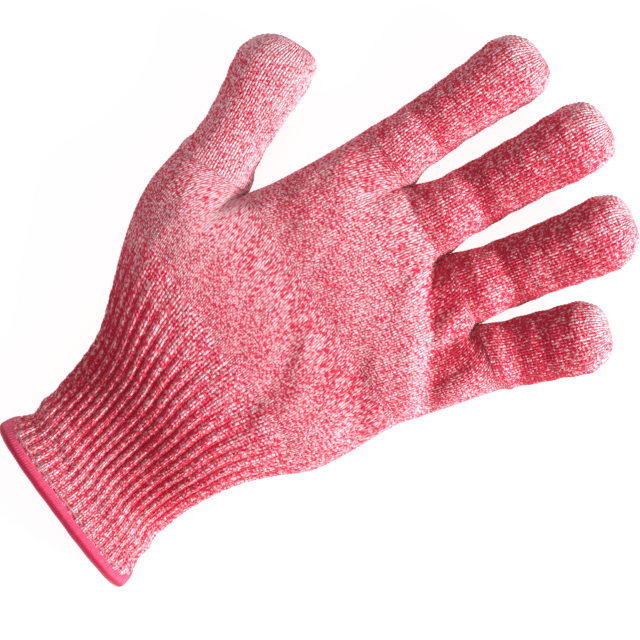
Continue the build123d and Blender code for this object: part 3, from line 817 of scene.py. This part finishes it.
def buildCuff(name, start, end, firstCourse, wristFade):
    # ring + normal * (ribs + stitches + ripples); ribs are wave^power - level, wave = (1 + cosine) / 2
    per = fabric["columnsPerWale"]
    wales = cuff["ribs"] * cuff["ribWales"]
    along, courses = rowsFor(start, end, end - start)
    full = resampleRing(lowerTube(along, per), wales * per)     # the palm's ring, in the ribs' wales
    n = gridNormals(full)
    turn = np.arange(wales * per)[None] / (wales * per)
    down = along[:, None]
    ribFrom, ribOver = cuff["ribFade"]
    palmFrom, palmOver = cuff["palmFade"]
    ribFade = 1 - ease((down - ribFrom) / ribOver)
    full = addTubeRelief(full, ease((along - palmFrom) / palmOver))
    course = firstCourse + np.linspace(0, courses, len(along))
    wave = 0.5 + 0.5 * np.cos(2 * np.pi * (turn - cuff["ribStart"] / cuff["ribs"]) * cuff["ribs"])
    rib = cuff["ribHeight"] * (wave ** cuff["ribPower"] - cuff["ribLevel"]) * ribFade
    drift, perLength, bend, turned = cuff["ribDrift"]
    rib = rib * (1 - drift + drift * np.sin(down * perLength + bend * np.sin(turn * 2 * np.pi + turned)))
    low, lowFrom, lowOver = cuff["hemRibs"]
    rib = rib * (1 - low + low * ease((down - lowFrom) / lowOver))
    by = cuff["paintedLightBy"]
    hemTo, hemOver = cuff["hemPale"]
    gatherAt, gatherWide = cuff["gatherPale"]
    # painted light and shade: paleness by slope, paler by the hem, darker by the gather, and painted shade
    # over the waist
    paintedPale = (paintedPaleness(full) + by["all"] + by["hem"] * ease((hemTo - down) / hemOver)
            + by["gather"] * hump(down - gatherAt, gatherWide) + by["waist"] * between(down, *cuff["waist"]))
    edge = ease((down - start) / cuff["edgeRise"]) if start < 0 else 1.0
    join = ease((end - down) / palmShape["joinFade"]) if wristFade else 1.0
    stitch = knitRelief(turn * wales, course[:, None], fabric["relief"])
    share, count = cuff["gatherWaves"]
    ripple = np.interp(down, *cuff["gather"]) * (1 + share * np.sin(turn * 2 * np.pi * count))
    draw, perLength, bend = cuff["draws"]
    ripple = ripple + draw * np.sin(down * perLength + bend * np.sin(turn * 2 * np.pi)) * ribFade
    p = restOnFloor(full + n * ((rib + stitch * join + ripple) * edge)[..., None])
    lining = lowerTube(np.linspace(start, end, cuff["liningRows"]), 1, fabric["thickness"])
    piece = meshFromGrids(name, [outerGrid(p, course, paintedPale), liningGrid(lining, cuff["liningWales"])])
    return piece, course[-1]


def buildPalm(name, tube, start, end, length, firstCourse, liningRows, joinFade):
    # half of the palm: tube, relief and stitches, with a lining one wall inside
    rows, courses = rowsFor(start, end, length)
    whole = np.ones(len(rows))
    p = addTubeRelief(tube(rows, fabric["columnsPerWale"]), whole)
    course = firstCourse + np.linspace(0, courses, len(rows))
    wale = np.arange(p.shape[1]) / fabric["columnsPerWale"]
    paintedPale = paintedPaleness(p)
    p = raised(p, gridNormals(p), wale, course, joinFade(rows)[:, None])
    inner = np.linspace(start, end, liningRows)
    lining = addTubeRelief(tube(inner, 1, fabric["thickness"]), np.ones(liningRows), fabric["thickness"])
    return meshFromGrids(name, [outerGrid(p, course, paintedPale), liningGrid(lining, lining.shape[1])]), course[-1]


plainKnit = makeKnitMaterial("marledPlainKnit", whiteShare=0.47, runLength=1.00, runWeight=0.85,
                             bumpDistance=0.00045, beadShare=0.75, plyTurns=0.75)
fingerKnit = makeKnitMaterial("marledFingerKnit", whiteShare=0.43, runLength=0.20, runWeight=0.80,
                              bumpDistance=0.00045)
ribKnit = makeKnitMaterial("marledRibKnit", whiteShare=0.50, runLength=0.30, runWeight=0.60,
                           bumpDistance=0.00040, ribs=True)

print("cuff and palm")
cuffKnit, course = buildCuff("cuffRib", cuff["edge"], cuff["end"], 0, False)
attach(cuffKnit, "cuff")
finishPiece(cuffKnit, ribKnit, ["cuff"])
wristKnit, course = buildCuff("wristRib", cuff["end"], cuff["wristEnd"], course, True)
finishPiece(wristKnit, ribKnit, ["wrist_band"])
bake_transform(wristKnit)
lowerPalm, course = buildPalm("lowerPalm", lowerTube, cuff["wristEnd"], palmShape["forkAt"],
                              palmShape["lowerLength"], 0, palmShape["lowerLiningRows"],
                              lambda along: ease((along - cuff["wristEnd"]) / palmShape["joinFade"]))
upperPalm, _ = buildPalm("upperPalm", upperTube, 0.0, 1.0, palmShape["upperLength"], course,
                         palmShape["upperLiningRows"],
                         lambda share: ease((1.0 - share) / palmShape["ringFade"]))
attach(lowerPalm, "palm")
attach(upperPalm, "palm")
finishPiece(lowerPalm, plainKnit, [])
finishPiece(upperPalm, plainKnit, ["palm"])

# halfWidths: at the root, the neck and the bulb of the tip; creases: distance of each from the root and
# its depth; bow: sideways offset of the middle line at stations along it; bendOver: length of each bend
# the digits' paleness shifts are painted light and shade: a paler or darker whole digit, darker half way
# along and by the root
digits = {
    "index": {
        "tipLength": 23.2, "tipTurn": -7, "wales": 17, "halfWidths": (13.3, 11.7, 13.0), "dome": 12.6,
        "thick": 9.9, "creases": ((19.5, 1.1), (45.0, 0.4)), "bendOver": (13.2, 21.0, 20.0),
        "paintedLightBy": 0.0, "slackShade": 0.05, "rootShade": 0.06,
        "bow": ((0, 10, 26, 46, 60, 70), (0.9, 0.1, -0.5, -0.6, -0.6, 0.7))},
    "middle": {
        "tipLength": 25.4, "tipTurn": -8, "wales": 17, "halfWidths": (14.1, 12.0, 13.1), "dome": 12.6,
        "thick": 10.0, "creases": ((20.5, 1.9), (48.0, 0.3)), "bendOver": (13.2, 21.0, 20.0),
        "paintedLightBy": -0.06, "slackShade": 0.07, "rootShade": 0.14,
        "bow": ((0, 12, 40, 58, 68, 76), (0.2, 0.3, 0.1, 0.2, 0.1, 0.5))},
    "ring": {
        "tipLength": 22.9, "tipTurn": -8, "wales": 18, "halfWidths": (13.8, 12.6, 13.7), "dome": 13.0,
        "thick": 9.9, "creases": ((15.5, 1.5), (41.0, 0.4)), "bendOver": (13.2, 21.0, 20.0),
        "paintedLightBy": -0.02, "slackShade": 0.06, "rootShade": 0.22,
        "bow": ((0, 12, 34, 48, 58, 68), (-0.2, 0.1, 0.3, 0.4, -0.1, -0.8))},
    "little": {
        "tipLength": 17.1, "tipTurn": -6, "wales": 17, "halfWidths": (12.6, 12.5, 13.2), "dome": 12.6,
        "thick": 9.1, "creases": ((13.5, 1.7), (24.5, 1.4)), "bendOver": (11.5, 14.6, 15.0),
        "paintedLightBy": -0.09, "slackShade": 0.12, "rootShade": 0.04,
        "bow": ((0, 12, 26, 38, 50), (-0.5, -0.6, -0.6, -0.6, -0.9))},
    "thumb": {
        "tipLength": 27.0, "tipTurn": -3, "wales": 19, "halfWidths": (15.2, 12.5, 14.3), "dome": 14.0,
        "thick": 11.3, "creases": ((22.0, 0.7),), "bendOver": (14.5, 24.0),
        "paintedLightBy": 0.13, "slackShade": -0.04, "rootShade": 0.0,
        "bow": ((0, 12, 24, 36, 43, 53), (0.3, 0.3, 0.0, -0.5, -0.3, 1.9))},
}
# what the digits share, in mm or as shares: how the middle line bends, the outline, and the closed tip
digitShape = {
    "lineSteps": 600, "bendLength": 14, "thumbRise": 12, "leaveRoot": 9.5, "rootFlare": 5.5,
    "bulbLength": 24, "waist": (0.05, 0.45, 14), "tipRise": (0.25, 18), "oval": (12, 10),
    "endWidth": 0.22, "widthPower": 2.3, "heightPower": 2.2, "leastWidth": 0.3,
    "closing": 2.5, "tipStitch": (1.1, 16, 10), "lean": 0.3, "gap": 1.7,
    "liningRows": 24, "liningShort": 1.5,
}
# relief: width and depth of a crease's valley, its slack pocket, the pad before it, the tip's pad, puckers
digitFolds = {
    "topPower": 0.7, "valley": (3.0, 0.6), "pocket": (-2, 5, 14, 11, 0.5), "before": (8, 6, 0.20),
    "tip": (15, 8, 0.4), "puckers": ((0.14, 0.8, 3), (0.12, 0.37, -2)), "rootFade": 5,
}
# paleness, painted light and shade: a painted highlight on the tip, painted shade half way along, by the root
# and past each crease
digitPaintedLight = {"tip": (0.30, 16, 13), "half": (0.52, 16), "root": (10, 9), "crease": (0.09, 3.5, 5.0)}
fingerOrder = ("index", "middle", "ring", "little")


def digitParts(name):
    # the lengths that a digit is divided into, and the joint before each
    if name == "thumb":
        return ("base", "tip"), ("knuckle", "tip_joint")
    return ("base", "middle", "tip"), ("knuckle", "middle_joint", "tip_joint")


def digitLine(name):
    # hinges, lengths between them, the directions ahead and across, and the pitch of each length
    d = digits[name]
    hinges = [inHand(f"{name}_{joint}") for joint in digitParts(name)[1]]
    legs = [b - a for a, b in zip(hinges, hinges[1:])]
    lengths = [np.linalg.norm(leg) for leg in legs] + [d["tipLength"]]
    ahead = np.append(unit(legs[-1][:2]), 0.0)
    across = np.array([ahead[1], -ahead[0], 0.0])
    pitches = [math.asin(leg[2] / np.linalg.norm(leg)) for leg in legs]
    pitches.append(pitches[-1] + math.radians(d["tipTurn"]))
    return hinges, lengths, ahead, across, pitches


def rootRing(name, perWale, inset):
    # the digit's own ring, where it leaves the palm
    s = palmShape
    ends, ring = s["thumbEnds"], s["thumbRing"]
    if name != "thumb":
        i = fingerOrder.index(name)
        ends, ring = s["crotches"][i:i + 2], s["fingerRing"]
    return lobeRing([inLobe(ends, ring, digits[name]["wales"], inset)], perWale)


def digitSurface(name, s, perWale, inset=0.0):
    # oval rings along the middle line: centre + across * width * x + up * height * z; near the palm they
    # start as the digit's root ring, root * (1 - share) + oval * share
    d, shape = digits[name], digitShape
    hinges, lengths, ahead, across, pitches = digitLine(name)
    total = sum(lengths)
    root = rootRing(name, perWale, inset)
    lead = float((hinges[0] - root.mean(0)) @ ahead)      # the ring lies this far before the hinge
    fine = np.linspace(-lead, total, shape["lineSteps"])
    pitch = np.full_like(fine, pitches[0])
    for at, turn in zip(np.cumsum(lengths), np.diff(pitches)):
        pitch += turn * ease((fine - at) / shape["bendLength"] + 0.5)
    if name == "thumb":
        pitch = pitch * ease((fine + lead) / shape["thumbRise"])
    step = np.diff(fine, prepend=fine[0])
    run = np.cumsum(np.cos(pitch) * step)
    rise = np.cumsum(np.sin(pitch) * step)
    start = hinges[0] - ahead * np.interp(0.0, fine, run)
    line = start[None] + ahead[None] * run[:, None] + np.array([0, 0, 1.0])[None] * rise[:, None]
    centre = np.stack([np.interp(s, fine, line[:, k]) for k in range(3)], 1)
    lift = np.interp(s, fine, pitch)
    up = np.stack([-ahead[0] * np.sin(lift), -ahead[1] * np.sin(lift), np.cos(lift)], 1)
    forward = np.stack([ahead[0] * np.cos(lift), ahead[1] * np.cos(lift), np.sin(lift)], 1)
    bowAt, bow = d["bow"]
    centre = centre + across[None] * through(bowAt, bow, np.clip(s, 0, bowAt[-1]))[:, None]
    rootHalf, neck, bulb = d["halfWidths"]
    domeAt = total - d["dome"]
    w = neck + (rootHalf - neck) * np.exp(-np.clip(s + lead, 0, None) / shape["rootFlare"])
    w = w + (bulb - neck) * ease((s - (domeAt - shape["bulbLength"])) / shape["bulbLength"])
    waist, waistAt, waistLength = shape["waist"]
    tipRise, tipLength = shape["tipRise"]
    h = d["thick"] * (1 - waist * hump(s - total * waistAt, waistLength))
    h = h + tipRise * ease((s - (domeAt - tipLength)) / tipLength)
    t = np.clip((s - domeAt) / d["dome"], 0, 1)
    narrow = np.sqrt(np.clip(1 - t ** shape["widthPower"], 0, 1))
    w = w * (shape["endWidth"] + (1 - shape["endWidth"]) * narrow)
    h = h * np.sqrt(np.clip(1 - t ** shape["heightPower"], 0, 1))
    w, h = np.maximum(w - inset, shape["leastWidth"]), np.maximum(h - inset, 0.0)
    x, z = evenProfile(*shape["oval"], palmShape["lobePower"], d["wales"] * perWale)
    ringX = np.concatenate([x[:-1], -x[:-1]])
    ringZ = np.concatenate([z[:-1], -z[:-1]])
    p = (centre[:, None] + across[None, None] * (w[:, None] * ringX[None])[..., None]
         + up[:, None] * (h[:, None] * ringZ[None])[..., None])
    fromRoot = root[None] + forward[:, None] * (s + lead)[:, None, None]
    fromRoot[..., 2] += np.interp(s, fine, rise)[:, None] - np.interp(-lead, fine, rise)
    share = ease((s + lead) / shape["leaveRoot"])[:, None, None]
    return fromRoot * (1 - share) + p * share, ringZ


def digitRelief(name, s, lead, total, ringZ):
    # palm side only: - valley and pocket at each crease + pads; puckers all round: sum of height * sine
    f = digitFolds
    s = s[:, None]
    z = np.zeros_like(s)
    wide, deep = f["valley"]
    start, rise, end, fall, low = f["pocket"]
    before, padWide, padHigh = f["before"]
    for at, depth in digits[name]["creases"]:
        z -= depth * (deep * hump(s - at, wide) + low * between(s, at + start, rise, at + end, fall))
        z += padHigh * depth * hump(s - (at - before), padWide)
    fromTip, tipWide, tipHigh = f["tip"]
    z += tipHigh * hump(s - (total - fromTip), tipWide)
    top = np.clip(ringZ, 0, 1)[None] ** f["topPower"]
    pucker = sum(high * np.sin(s * along + around * ringZ[None]) for high, along, around in f["puckers"])
    return (z * top + pucker) * ease((s + lead) / f["rootFade"])


def digitLightAndShade(name, s, total):
    # added to the paleness as painted light and shade: tip highlight - shade half way - shade by the root - a
    # line of shade past each crease
    d, t = digits[name], digitPaintedLight
    most, fromTip, over = t["tip"]
    halfAt, halfWide = t["half"]
    rootTo, rootOver = t["root"]
    added = d["paintedLightBy"] + most * ease((s - (total - fromTip)) / over)
    added = added - d["slackShade"] * hump(s - total * halfAt, halfWide)
    added = added - d["rootShade"] * ease((rootTo - s) / rootOver)
    share, past, wide = t["crease"]
    for at, depth in d["creases"]:
        added = added - share * depth * hump(s - (at + past), wide)
    return added[:, None]


def buildDigit(name):
    # one surface from root to tip, cut into its lengths
    d, shape = digits[name], digitShape
    parts, joints = digitParts(name)
    hinges, lengths, ahead, _, pitches = digitLine(name)
    total = sum(lengths)
    root = rootRing(name, 1, 0.0)
    lead = float((hinges[0] - root.mean(0)) @ ahead)
    centres = np.concatenate([[0], np.cumsum(lengths[:-1])])
    over = d["bendOver"]
    zones = [(-lead, -lead + over[0])] + [(c - o / 2, c + o / 2) for c, o in zip(centres[1:], over[1:])]
    cuts = [-lead] + [(a[1] + b[0]) / 2 for a, b in zip(zones, zones[1:])] + [total]
    s, courses = rowsFor(-lead, total, total + lead)
    # rows fall exactly on the cuts, so that neighbouring pieces share a ring
    cutRows = [int(np.argmin(np.abs(s - c))) for c in cuts]
    s[cutRows[1:-1]] = cuts[1:-1]
    p, ringZ = digitSurface(name, s, fabric["columnsPerWale"])
    n = gridNormals(p)
    n[-1] = n[-2]
    course = np.linspace(0, courses, len(s))
    wale = np.arange(p.shape[1]) / fabric["columnsPerWale"]
    closing = ease((total - s) / shape["closing"])[:, None]
    join = ease((s + lead) / palmShape["joinFade"])[:, None]
    relief = digitRelief(name, s, lead, total, ringZ) * closing
    paintedPale = paintedPaleness(p + n * relief[..., None], digitLightAndShade(name, s, total))
    more, fromTip, tipOver = shape["tipStitch"]
    coarser = 1 + more * ease((s - (total - fromTip)) / tipOver)[:, None]
    p = raised(p + n * relief[..., None], n, wale, course, closing * join * coarser)
    # the root ring leans a little, so the bend starts where all of it has been passed
    for i, part in enumerate(parts):
        rows = slice(cutRows[i], cutRows[i + 1] + 1)
        inside = np.linspace(cuts[i], min(cuts[i + 1], total - shape["liningShort"]), shape["liningRows"])
        inner, innerZ = digitSurface(name, inside, 1, fabric["thickness"])
        innerClosing = ease((total - inside) / shape["closing"])[:, None]
        innerRelief = digitRelief(name, inside, lead, total, innerZ) * innerClosing
        inner = inner + gridNormals(inner) * innerRelief[..., None]
        piece = meshFromGrids(f"{name}{part.capitalize()}Knit", [
            outerGrid(p[rows], course[rows], paintedPale[rows]),
            liningGrid(inner, len(wale) / fabric["columnsPerWale"])])
        finishPiece(piece, fingerKnit, [f"{name}_{joints[i]}_band", f"{name}_{part}"])
        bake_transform(piece)


print("fingers and thumb")
for digitName in digits:
    buildDigit(digitName)

hem = {"width": 5.0, "thickness": 3.0, "outBy": 0.9, "cornerPower": 0.8, "around": 36,
       "along": -1.6, "inset": 0.7,        # the bead follows the middle of the knit's wall at its edge
       "stitches": 168, "columnsPerStitch": 7, "ridge": 0.16, "slant": 0.9, "strands": 6,
       "wobble": ((0.05, 0.61, 0), (0.04, 0.23, 1)),
       "foldPower": 5, "ear": 1.5, "earLength": 4.0,        # where the cuff is folded flat
       "loopPerWale": 4, "loopStep": 0.01,
       "needleIn": 0.35, "needleSink": 0.12, "needleWave": 0.30, "needleRadius": 0.18, "needleSides": 6}


def edgeLoop(count, along, inset):
    # a loop inset from the cuff's face at one distance along, and the outward direction there
    stations = np.array([along - hem["loopStep"], along, along + hem["loopStep"]])
    rings = resampleRing(lowerTube(stations, hem["loopPerWale"], inset), count)
    return rings[1], gridNormals(rings)[1]


def buildHem():
    # bead: line + outward * half thickness * c + towards the edge * reach * s, with c and s rounded corners;
    # each overlock thread is a ridge, the absolute sine of a slanting coordinate
    count = hem["stitches"] * hem["columnsPerStitch"]
    line, outward = edgeLoop(count, hem["along"], hem["inset"])
    towardEdge = unit(np.cross(outward, unit(np.roll(line, -1, 0) - np.roll(line, 1, 0))))
    if towardEdge[:, 1].mean() > 0:
        towardEdge = -towardEdge
    a = np.linspace(0, 2 * np.pi, hem["around"], endpoint=False)
    c = np.sign(np.cos(a)) * np.abs(np.cos(a)) ** hem["cornerPower"]
    s = np.sign(np.sin(a)) * np.abs(np.sin(a)) ** hem["cornerPower"]
    turn = np.arange(count) / hem["columnsPerStitch"]
    ridge = hem["ridge"] * np.abs(np.sin(np.pi * (turn[None] + hem["slant"] * np.sin(a)[:, None])))
    wobble = sum(high * np.sin(turn * often + start) for high, often, start in hem["wobble"])
    # at the two folded ends the threads pile up, and the bead stands out as a rounded ear
    atFold = np.abs(outward[:, 0]) ** hem["foldPower"]
    halfThick = hem["thickness"] / 2 + hem["ear"] * atFold[None] + ridge
    reach = hem["outBy"] + (hem["width"] / 2 + ridge + wobble[None]) * s[:, None]
    reach = reach - hem["earLength"] * atFold[None] * np.clip(-s, 0, 1)[:, None]
    p = line[None] + outward[None] * (halfThick * c[:, None])[..., None] + towardEdge[None] * reach[..., None]
    p = p.transpose(1, 0, 2)      # rows go round the cuff, columns round the bead
    p = np.concatenate([p, p[:1]], 0)
    pieces = [meshFromGrids("hemOverlock", [{
        "p": p, "stitchU": np.linspace(0, hem["strands"], hem["around"] + 1),
        "stitchV": np.linspace(0, hem["stitches"], len(p))}])]
    aside = hem["needleIn"] - hem["width"] / 2 + hem["needleWave"] * np.sin(2 * np.pi * turn)
    lift = hem["thickness"] / 2 - hem["needleSink"] + hem["needleSink"] * np.abs(np.sin(np.pi * turn))
    for label, face in (("hemNeedleThread", 1), ("hemNeedleThreadInside", -1)):
        path = line + outward * (face * lift)[:, None] + towardEdge * aside[:, None]
        thread = tubeAround(path, hem["needleRadius"], hem["needleSides"])
        pieces.append(meshFromGrids(label, [{
            "p": thread, "stitchU": np.linspace(0, 1, hem["needleSides"] + 1),
            "stitchV": np.linspace(0, hem["stitches"] * 2, len(thread))}]))
    return pieces


mergeWithin = 1e-7      # metres; the last row of a thread lies on its first


def outwardFaces(piece):
    # turns the faces of a closed piece outwards, once its doubles are merged
    mesh = bmesh.new()
    mesh.from_mesh(piece.data)
    bmesh.ops.remove_doubles(mesh, verts=mesh.verts, dist=mergeWithin)
    bmesh.ops.recalc_face_normals(mesh, faces=mesh.faces)
    mesh.to_mesh(piece.data)
    mesh.free()


print("hem and elastic")
for i, piece in enumerate(buildHem()):
    outwardFaces(piece)
    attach(piece, "cuff")
    finishPiece(piece, needleThread if i else overlockThread,
                [] if i else ["hem_overlock"])

elastic = {"from": 8.0, "to": 34.0, "turns": 10, "radius": 0.4, "sides": 8, "around": 300, "clear": 0.15,
           "twists": 160, "bakeEdge": 0.003, "bakeRow": 0.099, "bakeHeight": 0.094}
rings = []
for along in np.linspace(elastic["from"], elastic["to"], elastic["turns"]):
    path = edgeLoop(elastic["around"], along, fabric["thickness"] + elastic["radius"] + elastic["clear"])[0]
    ring = tubeAround(path, elastic["radius"], elastic["sides"])
    # each turn has its own strip of the bake map
    low = elastic["bakeEdge"] + elastic["bakeRow"] * len(rings)
    rings.append({"p": ring, "stitchU": np.linspace(0, 1, elastic["sides"] + 1),
                  "stitchV": np.linspace(0, elastic["twists"], len(ring)),
                  "bake": (elastic["bakeEdge"], low, 1 - elastic["bakeEdge"], low + elastic["bakeHeight"])})
elasticRings = meshFromGrids("cuffElastic", rings)
outwardFaces(elasticRings)
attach(elasticRings, "cuff")
finishPiece(elasticRings, elasticThread, ["cuff_elastic"])

print("floor, light and camera")
# lamps: shares of picture right, picture up and height, then distance, width and watts
studio = {"middle": (-3.8, 113.6, 0.0), "floorHalf": 3.0, "floorDrop": 0.0004,
          "paper": (0.16, 0.16, 0.16, 1), "paperRoughness": 0.9, "paperGlow": 0.90,
          "air": (1, 0.95, 0.955, 1), "airStrength": 0.39,
          "keyLight": ((0.95, -0.45, 0.53), 0.95, 0.30, 18.5),
          "fillLight": ((-0.2, 0.1, 1.1), 1.2, 0.9, 3.5)}
view = {"right": (0.55048, 0.83485, 0.0), "up": (-0.83485, 0.55048, 0.0),
        "width": 0.2336, "lens": 100.0, "sensor": 36.0, "height": 0.016}
middle = toRow(studio["middle"])
floorMesh = bpy.data.meshes.new("floor")
half, drop = studio["floorHalf"], -studio["floorDrop"]
corners = [(-half, -half, drop), (half, -half, drop), (half, half, drop), (-half, half, drop)]
floorMesh.from_pydata(corners, [], [(0, 1, 2, 3)])
floor = bpy.data.objects.new("floor", floorMesh)
bpy.context.collection.objects.link(floor)
paper = bpy.data.materials.new("palePaper")
paper.use_nodes = True
sheet = paper.node_tree.nodes["Principled BSDF"].inputs
sheet["Base Color"].default_value = studio["paper"]
sheet["Roughness"].default_value = studio["paperRoughness"]
sheet["Emission Color"].default_value = (1, 1, 1, 1)
sheet["Emission Strength"].default_value = studio["paperGlow"]
floorMesh.materials.append(paper)

world = bpy.data.worlds.new("studio")
bpy.context.scene.world = world
world.use_nodes = True
air = world.node_tree.nodes["Background"].inputs
air["Color"].default_value = studio["air"]
air["Strength"].default_value = studio["airStrength"]


def softLight(name):
    # square lamp aimed at the middle, at middle + (right * a + up * b + height * c) * distance
    towards, distance, width, watts = studio[name]
    right, up = np.array(view["right"]), np.array(view["up"])
    place = middle + (right * towards[0] + up * towards[1] + np.array([0, 0, towards[2]])) * distance
    data = bpy.data.lights.new(name, "AREA")
    data.shape = "SQUARE"
    data.size = width
    data.energy = watts
    lamp = bpy.data.objects.new(name, data)
    bpy.context.collection.objects.link(lamp)
    lamp.location = place
    lamp.rotation_euler = (Vector(middle) - Vector(place)).to_track_quat("-Z", "Y").to_euler()


softLight("keyLight")
softLight("fillLight")

cameraData = bpy.data.cameras.new("camera")
cameraData.lens = view["lens"]
cameraData.sensor_width = view["sensor"]
distance = view["width"] * view["lens"] / view["sensor"]
camera = bpy.data.objects.new("camera", cameraData)
bpy.context.collection.objects.link(camera)
camera.location = (middle[0], middle[1], distance + view["height"])
camera.rotation_euler = (0, 0, math.atan2(view["right"][1], view["right"][0]))
bpy.context.scene.camera = camera
bpy.context.scene.view_settings.view_transform = "Standard"
